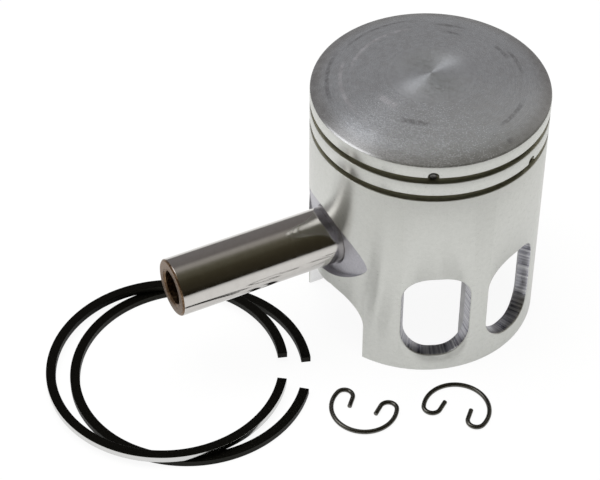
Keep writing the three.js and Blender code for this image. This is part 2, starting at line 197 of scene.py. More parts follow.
WINDOW_WAY = np.array([-0.555, 0.353, 0.752])
WINDOW_WAY /= np.linalg.norm(WINDOW_WAY)
towards = node(room, "ShaderNodeVectorMath", i0=node(
    room, "ShaderNodeTexCoord").outputs["Generated"], i1=tuple(WINDOW_WAY))
towards.operation = "DOT_PRODUCT"
WINDOW_EDGE, WINDOW_MIDDLE, WINDOW_GLOW = math.cos(math.radians(23)), math.cos(math.radians(6)), 2.6
glow = span(room, towards.outputs["Value"], WINDOW_EDGE, WINDOW_MIDDLE, 0.0, WINDOW_GLOW)
window = node(room, "ShaderNodeBackground", Color=(1.0, 1.0, 1.02, 1.0), Strength=glow)
both = node(room, "ShaderNodeAddShader", i0=background.outputs[0], i1=window.outputs[0])
node(room, "ShaderNodeOutputWorld", Surface=both.outputs[0])
print("room window towards", WINDOW_WAY.round(3))

# %% Paper floor
floor_mesh = bpy.data.meshes.new("paper")
FLOOR_HALF, FLOOR_GAP = 1500 * MM, 0.03
corners = np.array([[-1, -1, 0], [1, -1, 0], [1, 1, 0], [-1, 1, 0]]) * FLOOR_HALF
corners[:, 2] = (BASE_Z - FLOOR_GAP) * MM
floor_mesh.from_pydata(corners.tolist(), [], [[0, 1, 2, 3]])
floor = bpy.data.objects.new("paper", floor_mesh)
bpy.context.scene.collection.objects.link(floor)
paper, tree = new_material("white_paper")
SHADOW_SHARE, MIRRORED_SHARE, PAINTED_POOL_REACH = 0.07, 0.7, 600
white = node(tree, "ShaderNodeEmission", Color=(1, 1, 1, 1), Strength=1.0)
lit = node(tree, "ShaderNodeBsdfDiffuse", Color=(0.82, 0.82, 0.81, 1))
path = node(tree, "ShaderNodeLightPath")
away = node(tree, "ShaderNodeVectorMath", i0=node(tree, "ShaderNodeTexCoord").outputs["Object"])
away.operation = "LENGTH"
# Painted pool of light: seen in reflections the paper glows, brightest round the piston and fading
# with distance, in place of the lamp's light falling off across it.
painted_light_pool = ramp(tree, calc(tree, "DIVIDE", away.outputs["Value"], PAINTED_POOL_REACH * MM, clamp=True), [
    (0.0, 0.97), (0.14, 0.95), (0.24, 0.85), (0.38, 0.66), (0.6, 0.45), (1.0, 0.28)])
mirrored = node(tree, "ShaderNodeEmission", Color=painted_light_pool, Strength=1.0)
camera_share = calc(tree, "MULTIPLY", path.outputs["Is Camera Ray"], 1.0 - SHADOW_SHARE)
mirror_share = calc(tree, "MULTIPLY", path.outputs["Is Glossy Ray"], MIRRORED_SHARE)
for_camera = node(tree, "ShaderNodeMixShader", i0=camera_share, i1=lit.outputs[0],
                  i2=white.outputs[0])
blend = node(tree, "ShaderNodeMixShader", i0=mirror_share, i1=for_camera.outputs[0],
             i2=mirrored.outputs[0])
node(tree, "ShaderNodeOutputMaterial", Surface=blend.outputs[0])
floor_mesh.materials.append(paper)


# %% Lamps
def panel(name, place, aim, size, power, mirrored):
    """A soft rectangular lamp at a place in millimetres, turned towards a point."""
    data = bpy.data.lights.new(name, "AREA")
    data.shape = "RECTANGLE"
    data.size, data.size_y = size[0] * MM, size[1] * MM
    data.energy = power
    lamp = bpy.data.objects.new(name, data)
    bpy.context.scene.collection.objects.link(lamp)
    lamp.location = np.array(place) * MM
    heading = np.array(aim, float) - np.array(place, float)
    side = math.atan2(heading[0], -heading[1])
    tilt = math.atan2(math.hypot(heading[0], heading[1]), -heading[2])
    lamp.rotation_euler = (tilt, 0.0, side + math.pi)
    lamp.visible_glossy = mirrored
    return lamp


overhead = panel("overhead_panel", (-40, 10, 420), (-25, -10, BASE_Z), (420, 420), 3.4, False)
print("overhead panel:", overhead.data.energy, "W")

# %% [markdown]
# ## Making surfaces
# A turned piece is a profile of (radius, height) points carried round an axis. A grid of
# points, one row per profile point and one column per angle, gives the whole surface at
# once. Where the profile reaches the axis a row shrinks to one point, and merging the
# doubles closes the pole.


# %% Surface helpers
def grid_faces(rows, columns, wrap_rows=False, wrap_columns=True):
    """The quads between neighbouring points of a grid, joined end to start where wrapped."""
    row = np.arange(rows if wrap_rows else rows - 1)[:, None]
    column = np.arange(columns if wrap_columns else columns - 1)[None, :]
    next_row, next_column = (row + 1) % rows, (column + 1) % columns
    corners = (row * columns + column, row * columns + next_column,
               next_row * columns + next_column, next_row * columns + column)
    return np.stack(np.broadcast_arrays(*corners), -1).reshape(-1, 4)


def mesh_piece(name, points, faces, weld=1e-4):
    """An object from points in millimetres: doubles merged and faces turned outwards."""
    mesh = bpy.data.meshes.new(name)
    mesh.from_pydata((points.reshape(-1, 3) * MM).tolist(), [], [list(face) for face in faces])
    shape = bmesh.new()
    shape.from_mesh(mesh)
    bmesh.ops.remove_doubles(shape, verts=shape.verts, dist=weld * MM)
    bmesh.ops.recalc_face_normals(shape, faces=shape.faces)
    shape.to_mesh(mesh)
    shape.free()
    piece = bpy.data.objects.new(name, mesh)
    bpy.context.scene.collection.objects.link(piece)
    return piece


def turned(name, profile, steps, closed=False, along="Z", place=(0, 0, 0)):
    """Profile point i at angle a is (r_i cos a, r_i sin a, z_i), turned to its axis and
    moved to its place."""
    profile = np.array(profile, float)
    angle = np.linspace(0, 2 * np.pi, steps, endpoint=False)
    radius, height = profile[:, :1], np.broadcast_to(profile[:, 1:], (len(profile), steps))
    across, up = radius * np.cos(angle), radius * np.sin(angle)
    axes = (across, up, height) if along == "Z" else (height, across, up)
    points = np.stack(axes, -1) + np.array(place)
    return mesh_piece(name, points, grid_faces(len(profile), steps, wrap_rows=closed))


def rounded(profile, radii, steps=4):
    """The profile with corner i replaced by an arc of radius radii[i]: points on the
    quadratic curve between the two tangent points, with the corner as its handle."""
    profile = np.array(profile, float)
    out = []
    for i, point in enumerate(profile):
        reach = radii.get(i, 0)
        if not reach:
            out.append(point[None])
            continue
        before, after = profile[i - 1] - point, profile[(i + 1) % len(profile)] - point
        start = point + before / np.linalg.norm(before) * reach
        end = point + after / np.linalg.norm(after) * reach
        t = np.linspace(0, 1, steps + 1)[:, None]
        out.append((1 - t) ** 2 * start + 2 * t * (1 - t) * point + t ** 2 * end)
    return np.concatenate(out)


def rounded_box(half_width, low, high, corner, steps=14):
    """The closed outline of a rectangle with round corners: four quarter arcs, each
    (centre x + c cos a, centre y + c sin a), joined by the straight sides between them."""
    corner = min(corner, half_width, (high - low) / 2)
    quarter = np.linspace(0, np.pi / 2, steps)
    centres = [(half_width - corner, high - corner), (corner - half_width, high - corner),
               (corner - half_width, low + corner), (half_width - corner, low + corner)]
    arcs = [np.array(centre) + corner * np.stack([np.cos(quarter + k * np.pi / 2),
                                                  np.sin(quarter + k * np.pi / 2)], -1)
            for k, centre in enumerate(centres)]
    return np.concatenate(arcs)


def capped(name, layers):
    """A closed solid from a stack of outlines with the same number of points: walls
    between neighbours and one flat cap at each end."""
    layers = np.array(layers)
    rows, columns = layers.shape[:2]
    faces = [list(face) for face in grid_faces(rows, columns)]
    faces += [list(range(columns)), list(range((rows - 1) * columns, rows * columns))]
    return mesh_piece(name, layers, faces)


def cut(target, cutter, operation="DIFFERENCE"):
    """Cuts, adds or keeps the shared part of two closed solids, then drops the cutter."""
    modifier = target.modifiers.new(operation.lower(), "BOOLEAN")
    modifier.operation = operation
    modifier.object = cutter
    modifier.solver = "EXACT"
    graph = bpy.context.evaluated_depsgraph_get()
    result = bpy.data.meshes.new_from_object(target.evaluated_get(graph))
    target.modifiers.clear()
    old, old_cutter = target.data, cutter.data
    target.data = result
    bpy.data.objects.remove(cutter)
    bpy.data.meshes.remove(old)
    bpy.data.meshes.remove(old_cutter)
    return target


# %% [markdown]
# ## The piston's outside
# The real piston is a casting that was turned all over. Its profile runs from the skirt's
# base, past the two grooves and their lands, round the rim and over the crown. Each edge
# a cutting tool leaves has a tiny flat or round, and that is what catches the light, so
# the profile has them as real geometry.

# %% Profile of the turned outside
TOP_LAND, SECOND_LAND = 2.35, 2.52
GROOVE_HEIGHT = RING_HEIGHT + 0.06
GROOVE_ROOT_R = SKIRT_R - RING_RADIAL - 0.2
EDGE = 0.12
groove_tops = [RIM_Z - TOP_LAND, RIM_Z - TOP_LAND - GROOVE_HEIGHT - SECOND_LAND]
DOME_R, BAND_DROP, CENTRE_R = 16.2, 1.25, 1.5


def groove_profile(top):
    """One groove from its lower edge to its upper edge, with both edges broken."""
    bottom = top - GROOVE_HEIGHT
    return [(SKIRT_R, bottom - EDGE), (SKIRT_R - 0.04, bottom - 0.03),
            (SKIRT_R - EDGE, bottom), (GROOVE_ROOT_R + 0.15, bottom),
            (GROOVE_ROOT_R, bottom + 0.15), (GROOVE_ROOT_R, top - 0.15),
            (GROOVE_ROOT_R + 0.15, top), (SKIRT_R - EDGE, top),
            (SKIRT_R - 0.04, top + 0.03), (SKIRT_R, top + EDGE)]


def crown_profile():
    """The rim's small round, the conical squish band, and the dome, whose height falls
    with the square of the distance from the centre's faced spot."""
    rim = [(SKIRT_R, RIM_Z - 0.35), (SKIRT_R - 0.06, RIM_Z - 0.14), (SKIRT_R - 0.2, RIM_Z - 0.02),
           (SKIRT_R - 0.42, RIM_Z + 0.08)]
    radius = np.linspace(DOME_R, CENTRE_R, 40)
    height = (RIM_Z + BAND_DROP) * ((radius - CENTRE_R) / (DOME_R - CENTRE_R)) ** 2
    return rim + list(zip(radius, height)) + [(0, 0)]


skirt_profile = [(0, BASE_Z), (SKIRT_R - 0.3, BASE_Z), (SKIRT_R - 0.06, BASE_Z + 0.1),
                 (SKIRT_R, BASE_Z + 0.3)]
outside = skirt_profile + groove_profile(groove_tops[1]) + groove_profile(groove_tops[0])
ROUND_STEPS = 360
piston = turned("piston", outside + crown_profile(), ROUND_STEPS)
print("outside:", len(piston.data.polygons), "faces")

# %% [markdown]
# ## The hollow under the crown
# The inside is as cast: a thick belt behind the grooves that thins into the skirt, two
# bosses for the pin, a web that hangs each boss from the crown, and a rib behind the post
# between the windows. The hollow is made as one solid with those parts taken out of it,
# and that solid is then taken out of the piston.

# %% Hollow
BELT_R, WALL_R = SKIRT_R - 5.0, SKIRT_R - 2.5
CEILING_Z = -4.5
BOSS_R, BOSS_GAP, BOSS_STEPS = PIN_R + 4.2, 15.0, 128
FAR = 24.0
cavity = [(0, BASE_Z - 1), (WALL_R + 1.1, BASE_Z - 1), (WALL_R + 0.1, BASE_Z + 0.05),
          (WALL_R, BASE_Z + 0.4), (WALL_R, RIM_Z - 15.0), (BELT_R, RIM_Z - 11.0),
          (BELT_R, CEILING_Z - 1.5), (0, CEILING_Z)]
hollow = turned("hollow", rounded(cavity, {4: 1.5, 5: 1.5, 6: 3.0}, 8), 192)
for side in (-1, 1):
    inner, outer = side * BOSS_GAP / 2, side * FAR
    bar = [(0, inner), (BOSS_R - 0.5, inner), (BOSS_R, inner + side * 0.5), (BOSS_R, outer),
           (0, outer)]
    cut(hollow, turned("boss_bar", rounded(bar, {1: 0.3, 2: 0.3}), BOSS_STEPS, along="X",
                       place=(0, 0, PIN_Z)))
    outline = rounded_box(4.5, PIN_Z - 1.0, 1.0, 0.8, 4)
    layers = [np.column_stack([np.full(len(outline), x), outline]) for x in (inner, outer)]
    cut(hollow, capped("boss_web", layers))


# %% [markdown]
# ## Cuts carried along radii
# The windows and the peg slots go straight in towards the axis, so their side walls run
# along radii. Their cutter is an outline drawn on the skirt, as arc length and height,
# repeated at several radii. Growing the outline a little at the skirt's surface leaves
# the small rounded lip that a real window has.


# %% Radial cutter
def radial_cutter(name, azimuth, layers):
    """Layers are (radius, outline): outline point (s, z) lies at angle azimuth +
    s / skirt radius, at that radius and height z."""
    solid = []
    for radius, outline in layers:
        angle = math.radians(azimuth) + outline[:, 0] / SKIRT_R
        solid.append(np.stack([radius * np.cos(angle), radius * np.sin(angle), outline[:, 1]], -1))
    return capped(name, solid)


INTAKE = -90
RIB_HALF, RIB_R = 1.6, SKIRT_R - 4.6
WINDOW_HALF, WINDOW_LOW, WINDOW_HIGH, WINDOW_CORNER = 6.0, BASE_Z + 3.85, BASE_Z + 21.95, 5.2
rib_outline = rounded_box(RIB_HALF, WINDOW_LOW - 1.93, WINDOW_HIGH + 1.93, RIB_HALF, 8)
rib_top = rounded_box(RIB_HALF - 0.35, WINDOW_LOW - 1.58, WINDOW_HIGH + 1.58, RIB_HALF - 0.35, 8)
cut(hollow, radial_cutter("rib", INTAKE, [(RIB_R, rib_top), (RIB_R + 0.4, rib_outline),
                                         (FAR, rib_outline)]))
cut(piston, hollow)
print("hollowed:", len(piston.data.polygons), "faces")

# %% Windows towards the intake
WINDOW_TURN = 22.2
LIP = [(13.5, 0.25), (17.3, 0.25), (17.5, 0.12), (17.75, 0.0), (19.68, 0.0), (19.84, 0.03),
       (19.95, 0.11), (20.02, 0.24), (21.5, 1.6)]
for azimuth in (INTAKE - WINDOW_TURN, INTAKE + WINDOW_TURN):
    layers = [(radius, rounded_box(WINDOW_HALF + grow, WINDOW_LOW - grow, WINDOW_HIGH + grow,
                                   WINDOW_CORNER + grow)) for radius, grow in LIP]
    cut(piston, radial_cutter("window", azimuth, layers))
print("windows cut:", len(piston.data.polygons), "faces")

# %% Slots for the ring ends and their pegs
PEG_ANGLE, SLOT_HALF, SLOT_RISE = 27.5, 0.875, 1.1
peg_places = [(INTAKE - PEG_ANGLE, groove_tops[0]), (INTAKE + PEG_ANGLE, groove_tops[1])]
SLOT_FLOOR_R = SKIRT_R - 2.4
SLOT_LIP = [(SLOT_FLOOR_R, 0.0), (19.85, 0.0), (19.96, 0.04), (20.02, 0.1), (21.0, 0.6)]
for azimuth, top in peg_places:
    bottom = top - GROOVE_HEIGHT / 2
    layers = [(radius, rounded_box(SLOT_HALF + grow, bottom - grow * 0.2, top + SLOT_RISE + grow,
                                   SLOT_HALF + grow, 10)) for radius, grow in SLOT_LIP]
    cut(piston, radial_cutter("slot", azimuth, layers))
print("slots cut:", len(piston.data.polygons), "faces")

# %% [markdown]
# ## Pockets, bores and cutaways along the pin
# Round each end of the bore the skirt is relieved by a shallow eye-shaped pocket, so that
# the boss can't rub. Its floor is a flatter cylinder than the skirt, which makes its
# ledge fade out at the tips. Under each boss the skirt is cut away from below.
#
# An exact boolean still fails where two surfaces nearly coincide: it leaves slivers with
# one face or three on an edge, and the next cut makes them worse. So the cutters keep off
# the surfaces already there. The cutaway spares a bar a hair wider than the boss, and the
# bore has a step count that shares no factor with the boss's. The last cell counts the
# edges that don't have exactly two faces, and the count has to be nought.

# %% Cuts along X
POCKET_HALF_W, POCKET_HALF_H, BOSS_FACE_X = 10.65, 7.1, 18.65
UPPER_FULLNESS, LOWER_FULLNESS = 1.65, 1.45
meets_y = POCKET_HALF_W + 0.3
sag = BOSS_FACE_X - math.sqrt(SKIRT_R ** 2 - meets_y ** 2)
FLOOR_R = (meets_y ** 2 + sag ** 2) / (2 * sag)
CUTAWAY_HALF, CUTAWAY_TOP, HAIR = 10.15, PIN_Z - 8.9, 0.02


def eye(half_width, half_height, steps=160):
    """A superellipse about the pin's axis: |y / w| to the power p plus |z / h| to the power p
    is 1, with p a little larger above than below. Point a is (w |cos a| to the 2/p,
    h |sin a| to the 2/p), with the signs of the cosine and the sine. The small start angle
    keeps the points off the skirt's own edges."""
    angle = np.linspace(0, 2 * np.pi, steps, endpoint=False) + 0.004
    across, up = np.cos(angle), np.sin(angle)
    power = 2 / np.where(up > 0, UPPER_FULLNESS, LOWER_FULLNESS)
    return np.stack([half_width * np.sign(across) * np.abs(across) ** power,
                     PIN_Z + half_height * np.sign(up) * np.abs(up) ** power], -1)


def skirt_depth(outline, depth, side):
    """The outline laid on the skirt, that deep below its surface: x is the root of
    R squared less y squared, less the depth."""
    x = np.sqrt(np.maximum(SKIRT_R ** 2 - outline[:, 0] ** 2, 0)) - depth
    return np.column_stack([side * x, outline])


def pocket_cutter(side):
    """An eye-shaped prism whose inner end is the pocket's floor, the cylinder of radius F
    about an axis F inside the boss face: x = face - F + root(F squared - y squared)."""
    plain = eye(POCKET_HALF_W, POCKET_HALF_H)
    floor_x = BOSS_FACE_X - FLOOR_R + np.sqrt(FLOOR_R ** 2 - plain[:, 0] ** 2)
    rings = []
    for share in (0.02, 0.25, 0.5, 0.75, 0.92, 1.0):
        ring = np.array([0, PIN_Z]) + (plain - np.array([0, PIN_Z])) * share
        x = BOSS_FACE_X - FLOOR_R + np.sqrt(FLOOR_R ** 2 - ring[:, 0] ** 2)
        rings.append(np.column_stack([side * x, ring]))
    for depth, grow in ((0.14, 0.0), (0.04, 0.03), (-0.02, 0.1), (-0.6, 0.4)):
        outline = eye(POCKET_HALF_W + grow, POCKET_HALF_H + grow)
        layer = skirt_depth(outline, depth, side)
        if depth > 0:
            layer[:, 0] = side * np.maximum(np.abs(layer[:, 0]), floor_x + 0.004)
        rings.append(layer)
    end = eye(POCKET_HALF_W + 0.5, POCKET_HALF_H + 0.5)
    rings.append(np.column_stack([np.full(len(end), side * FAR), end]))
    return capped("pocket", rings)


def cutaway_cutter(side):
    outline = rounded_box(CUTAWAY_HALF, BASE_Z - 12, CUTAWAY_TOP, 5.0)
    grown = rounded_box(CUTAWAY_HALF + 0.2, BASE_Z - 12.2, CUTAWAY_TOP + 0.2, 5.2)
    layers = [np.column_stack([np.full(len(outline), side * 10.0), outline]),
              skirt_depth(outline, 0.25, side), skirt_depth(grown, -0.03, side),
              np.column_stack([np.full(len(grown), side * FAR), grown])]
    cutter = capped("cutaway", layers)
    spared, near, beyond = BOSS_R + HAIR, side * 5, side * (FAR + 2)
    bar = [(0, near), (spared, near), (spared, beyond), (0, beyond)]
    return cut(cutter, turned("boss_bar", bar, BOSS_STEPS, along="X", place=(0, 0, PIN_Z)))


for side in (-1, 1):
    cut(piston, cutaway_cutter(side))
    cut(piston, pocket_cutter(side))
print("pockets cut:", len(piston.data.polygons), "faces")

# %% Bore, its mouths and the circlip grooves
BORE_R, BORE_STEPS = PIN_R + 0.03, 143
CLIP_X, CLIP_HALF, CLIP_R = PIN_LENGTH / 2 + 0.6, 0.4, BORE_R + 0.45
half = [(BORE_R, CLIP_X - CLIP_HALF), (CLIP_R, CLIP_X - CLIP_HALF), (CLIP_R, CLIP_X + CLIP_HALF),
        (BORE_R, CLIP_X + CLIP_HALF), (BORE_R, BOSS_FACE_X - 0.6), (BORE_R + 0.6, BOSS_FACE_X),
        (BORE_R + 3, BOSS_FACE_X + 2.4), (0, BOSS_FACE_X + 2.4)]
mirrored_half = [(radius, -x) for radius, x in reversed(half)]
cut(piston, turned("bore", mirrored_half + half, BORE_STEPS, along="X", place=(0, 0, PIN_Z)))
for azimuth, top in peg_places:
    hole = turned("peg_hole", [(0, 0), (0.62, 0), (0.62, 4), (0, 4)], 32, along="X",
                  place=(GROOVE_ROOT_R - 1.82, 0, top - GROOVE_HEIGHT / 2))
    turn = math.radians(azimuth)
    hole.data.transform(Matrix.Rotation(turn, 4, "Z"))
    cut(piston, hole)
print("finished piston:", len(piston.data.polygons), "faces")

# %% Checks on the cut mesh
size_x, size_y, size_z = (d / MM for d in piston.dimensions)
print("piston measures", round(size_x, 2), round(size_y, 2), round(size_z, 2))
shape = bmesh.new()
shape.from_mesh(piston.data)
open_edges = sum(1 for edge in shape.edges if len(edge.link_faces) != 2)
print("edges without two faces:", open_edges)
shape.free()


# %% [markdown]
# ## Pin, rings, pegs and circlips
# The pin is a ground tube, turned from one closed profile. Each ring is a rectangle
# carried round an arc that stops short at the gap. A circlip is a round wire carried
# along its centre line, and every end is a real cut face with a small broken edge.

# %% Wrist pin
PIN_HOLE_R = 2.95
h = PIN_LENGTH / 2
PIN_CHAMFER = 0.3
pin_profile = rounded([(PIN_HOLE_R, -h + PIN_CHAMFER), (PIN_HOLE_R + PIN_CHAMFER, -h),
                       (PIN_R - PIN_CHAMFER, -h), (PIN_R, -h + PIN_CHAMFER),
                       (PIN_R, h - PIN_CHAMFER), (PIN_R - PIN_CHAMFER, h),
                       (PIN_HOLE_R + PIN_CHAMFER, h), (PIN_HOLE_R, h - PIN_CHAMFER)],
                      {1: 0.1, 2: 0.12, 3: 0.15, 4: 0.15, 5: 0.12, 6: 0.1}, 5)
pin_middle = (pin_low[0] + pin_high[0]) / 2
pin = turned("pin", pin_profile, 240, closed=True, along="X", place=(pin_middle, 0, PIN_Z))


# %% Piston rings
RING_FREE_R, RING_STEPS = SKIRT_R + 0.89, 288


def ring(name, node_name, free_gap, gap_direction):
    """A rectangle carried round an arc: corner (r, z) at angle a is (r cos a, r sin a, z),
    with a running from one side of the gap round to the other."""
    low, high = (np.array(corner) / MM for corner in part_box(node_name))
    outer = RING_FREE_R
    gap = free_gap / 2 / outer
    start = math.radians(gap_direction) + gap
    angle = np.linspace(start, start + 2 * np.pi - 2 * gap, RING_STEPS)
    corners = np.array([(outer - RING_RADIAL, low[2]), (outer, low[2]), (outer, high[2]),
                        (outer - RING_RADIAL, high[2])])
    centre = RING_CENTRES[name]
    radius = corners[None, :, 0]
    points = np.stack([centre[0] + radius * np.cos(angle)[:, None],
                       centre[1] + radius * np.sin(angle)[:, None],
                       np.broadcast_to(corners[None, :, 1], (RING_STEPS, 4))], -1)
    return capped(name, points)


RING_CENTRES = {"second_ring": (-(SKIRT_R + 4.55 + RING_FREE_R), -0.63)}
RING_CENTRES["top_ring"] = (RING_CENTRES["second_ring"][0] - 3.72, 1.0)
second_ring = ring("second_ring", "compression_ring_second", 7.5, -28.8)
top_ring = ring("top_ring", "compression_ring_top", 6.1, -26.7)

# %% Ring pegs
PEG_R, PEG_LENGTH = 0.6, 2.6
pegs = []
for name, (azimuth, top) in zip(("peg_upper", "peg_lower"), peg_places):
    profile = rounded([(0, 0), (PEG_R, 0), (PEG_R, PEG_LENGTH), (0, PEG_LENGTH)], {2: 0.12})
    peg = turned(name, profile, 40, along="X",
                 place=(GROOVE_ROOT_R - 1.8, 0, top - GROOVE_HEIGHT / 2))
    peg.data.transform(Matrix.Rotation(math.radians(azimuth), 4, "Z"))
    pegs.append(peg)

# %% Circlips
WIRE_R, ARC_R, HALF_ARC, HOOK_R, HOOK_TURN, TAIL = 0.4, 5.6, 106.0, 1.45, 159.0, 2.1


def circlip(name, to_skirt, direction, turn):
    """A wire along a centre line of arc, hook and tail on each side of its middle. At
    distance d along it the heading has turned by the arc, then by the tighter hook, and
    the place is the running sum of the headings."""
    arc, hook = ARC_R * math.radians(HALF_ARC), HOOK_R * math.radians(HOOK_TURN)
    half_length = arc + hook + TAIL
    d = np.linspace(0, half_length, 181)
    heading = np.minimum(d, arc) / ARC_R + np.clip(d - arc, 0, hook) / HOOK_R
    step = d[1]
    middle = (heading[1:] + heading[:-1]) / 2
    x = ARC_R - np.concatenate([[0], np.cumsum(np.sin(middle) * step)])
    y = np.concatenate([[0], np.cumsum(np.cos(middle) * step)])
    line = np.concatenate([np.stack([x, -y], -1)[:0:-1], np.stack([x, y], -1)])
    tangent = np.gradient(line, axis=0)
    tangent /= np.linalg.norm(tangent, axis=1)[:, None]
    side = np.stack([tangent[:, 1], -tangent[:, 0]], -1)
    angle = np.linspace(0, 2 * np.pi, 20, endpoint=False)
    flat = line[:, None] + WIRE_R * np.cos(angle)[None, :, None] * side[:, None]
    height = np.broadcast_to(WIRE_R * np.sin(angle), flat.shape[:2])[..., None]
    points = np.concatenate([flat, height], -1)
    turn, direction = math.radians(turn), math.radians(direction)
    c, s = math.cos(turn), math.sin(turn)
    points = points @ np.array([[c, s, 0], [-s, c, 0], [0, 0, 1]])
    reach = SKIRT_R + to_skirt
    points += np.array([reach * math.cos(direction), reach * math.sin(direction), BASE_Z + WIRE_R])
    return capped(name, points)


clips = [circlip("clip_left", 10.75, -136.7, -137.6), circlip("clip_right", 9.73, -106.6, 40.3)]


# %% [markdown]
# ## Shading the surfaces
# A turned part is smooth where one cut runs on and sharp where two cuts meet, so the
# normals are smooth except across edges steeper than a few tens of degrees.

# %% Smooth faces, broken edges
def finish_edges(piece, width=0.0, limit=30.0):
    """Smooth shading with hard edges kept, and a small real bevel where asked for."""
    piece.data.shade_smooth()
    piece.data.set_sharp_from_angle(angle=math.radians(limit))
    if width:
        modifier = piece.modifiers.new("broken_edges", "BEVEL")
        modifier.width = width * MM
        modifier.segments = 2
        modifier.limit_method = "ANGLE"
        modifier.angle_limit = math.radians(40)
        modifier.harden_normals = False


finish_edges(piston)
finish_edges(pin)
for piece in (second_ring, top_ring):
    finish_edges(piece, 0.07)
for piece in pegs:
    finish_edges(piece)
for piece in clips:
    finish_edges(piece, 0.08)

# %% [markdown]
# ## Marks that several metals share
# Every finish here has marks of how it was made. Each kind of mark is a node group with
# named inputs, so that one effect can serve several metals at different sizes: the fine
# lines a turning tool leaves, the cloudy patches of handling and oxide, the skin of a
# casting, and the short arc-shaped rubs on the crown.


# %% Node group helpers
def mark_group(name, inputs, outputs):
    """A group with float inputs and their usual values, and float outputs."""
    group = bpy.data.node_groups.new(name, "ShaderNodeTree")
    for label, value in inputs.items():
        socket = group.interface.new_socket(label, in_out="INPUT", socket_type="NodeSocketFloat")
        socket.default_value = value
    for label in outputs:
        group.interface.new_socket(label, in_out="OUTPUT", socket_type="NodeSocketFloat")
    return group, group.nodes.new("NodeGroupInput").outputs, \
        group.nodes.new("NodeGroupOutput").inputs


def marks(tree, group, **values):
    """The group placed in a material, with its own values or links."""
    made = tree.nodes.new("ShaderNodeGroup")
    made.node_tree = group
    for key, value in values.items():
        socket = made.inputs[key.replace("_", " ")]
        if isinstance(value, bpy.types.NodeSocket):
            tree.links.new(value, socket)
        else:
            socket.default_value = value
    return made.outputs


def millimetres(tree):
    """The piece's own coordinates in millimetres: the vector, and x, y and z."""
    scaled = node(tree, "ShaderNodeVectorMath", i0=node(
        tree, "ShaderNodeTexCoord").outputs["Object"], i1=(1 / MM,) * 3)
    scaled.operation = "MULTIPLY"
    parts = node(tree, "ShaderNodeSeparateXYZ", Vector=scaled.outputs[0])
    return scaled.outputs[0], parts.outputs


def noise_of_size(tree, size, detail, roughness):
    """Noise over the piece, its features about that many millimetres across."""
    place = node(tree, "ShaderNodeVectorMath", i0=millimetres(tree)[0])
    place.operation = "SCALE"
    tree.links.new(calc(tree, "DIVIDE", 1.0, size), place.inputs["Scale"])
    return node(tree, "ShaderNodeTexNoise", Vector=place.outputs[0], Detail=detail,
                Roughness=roughness).outputs[0]


def from_axis(tree):
    """The distance from the piston's axis, in millimetres."""
    x, y, _ = millimetres(tree)[1]
    return calc(tree, "SQRT", calc(tree, "ADD", calc(tree, "MULTIPLY", x, x),
                                   calc(tree, "MULTIPLY", y, y)))


# %% Lines left by a turning tool
tool_lines, given, result = mark_group("tool_lines", {"Along": 0.0, "Spacing": 0.25}, ["Lines"])
step = calc(tool_lines, "DIVIDE", given["Along"], given["Spacing"])
fine = node(tool_lines, "ShaderNodeTexNoise")
fine.noise_dimensions = "1D"
tool_lines.links.new(step, fine.inputs["W"])
broad = node(tool_lines, "ShaderNodeTexNoise")
broad.noise_dimensions = "1D"
tool_lines.links.new(calc(tool_lines, "MULTIPLY", step, 0.13), broad.inputs["W"])
summed = calc(tool_lines, "ADD", calc(tool_lines, "MULTIPLY", fine.outputs[0], 0.62),
              calc(tool_lines, "MULTIPLY", broad.outputs[0], 0.38))
tool_lines.links.new(summed, result["Lines"])

# %% Cloudy patches
clouds, given, result = mark_group("clouds", {"Size": 4.0, "Contrast": 1.0}, ["Patches"])
cloud = noise_of_size(clouds, given["Size"], 4.0, 0.6)
centred = calc(clouds, "SUBTRACT", cloud, 0.5)
clouds.links.new(calc(clouds, "ADD", calc(clouds, "MULTIPLY", centred, given["Contrast"]), 0.5,
                      clamp=True), result["Patches"])

# %% Short rubs round the axis
rub, given, result = mark_group(
    "rub", {"Radius": 12.0, "Width": 0.4, "Azimuth": 0.0, "Reach": 10.0}, ["Mask"])
x, y, _ = millimetres(rub)[1]
radius = from_axis(rub)
turn = calc(rub, "RADIANS", given["Azimuth"])
lined_up = calc(rub, "DIVIDE", calc(rub, "ADD", calc(rub, "MULTIPLY", x, calc(rub, "COSINE", turn)),
                                    calc(rub, "MULTIPLY", y, calc(rub, "SINE", turn))), radius)
off = calc(rub, "DIVIDE", calc(rub, "DEGREES", calc(rub, "ARCCOSINE", lined_up)), given["Reach"])
side = calc(rub, "DIVIDE", calc(rub, "ABSOLUTE", calc(rub, "SUBTRACT", radius, given["Radius"])),
            given["Width"])
patchy = node(rub, "ShaderNodeTexNoise", Vector=millimetres(rub)[0], Scale=1.3, Detail=3.0)
mask = calc(rub, "MULTIPLY", span(rub, off, 0.5, 1.0, 1.0, 0.0),
            span(rub, side, 0.3, 1.0, 1.0, 0.0))
mask = calc(rub, "MULTIPLY", mask, span(rub, patchy.outputs[0], 0.3, 0.6, 0.25, 1.0))
rub.links.new(mask, result["Mask"])

# %% Streaks that follow the turning
round_streaks, given, result = mark_group(
    "round_streaks", {"Spacing": 0.3, "Shortness": 2.0}, ["Streaks"])
x, y, z = millimetres(round_streaks)[1]
radius = from_axis(round_streaks)
turned_round = [calc(round_streaks, "MULTIPLY", calc(round_streaks, "DIVIDE", part, radius),
                     given["Shortness"]) for part in (x, y)]
across = calc(round_streaks, "DIVIDE", calc(round_streaks, "ADD", radius, z), given["Spacing"])
place = node(round_streaks, "ShaderNodeCombineXYZ", X=turned_round[0], Y=turned_round[1], Z=across)
streak = node(round_streaks, "ShaderNodeTexNoise", Vector=place.outputs[0], Detail=3.0,
              Roughness=0.62)
round_streaks.links.new(streak.outputs[0], result["Streaks"])

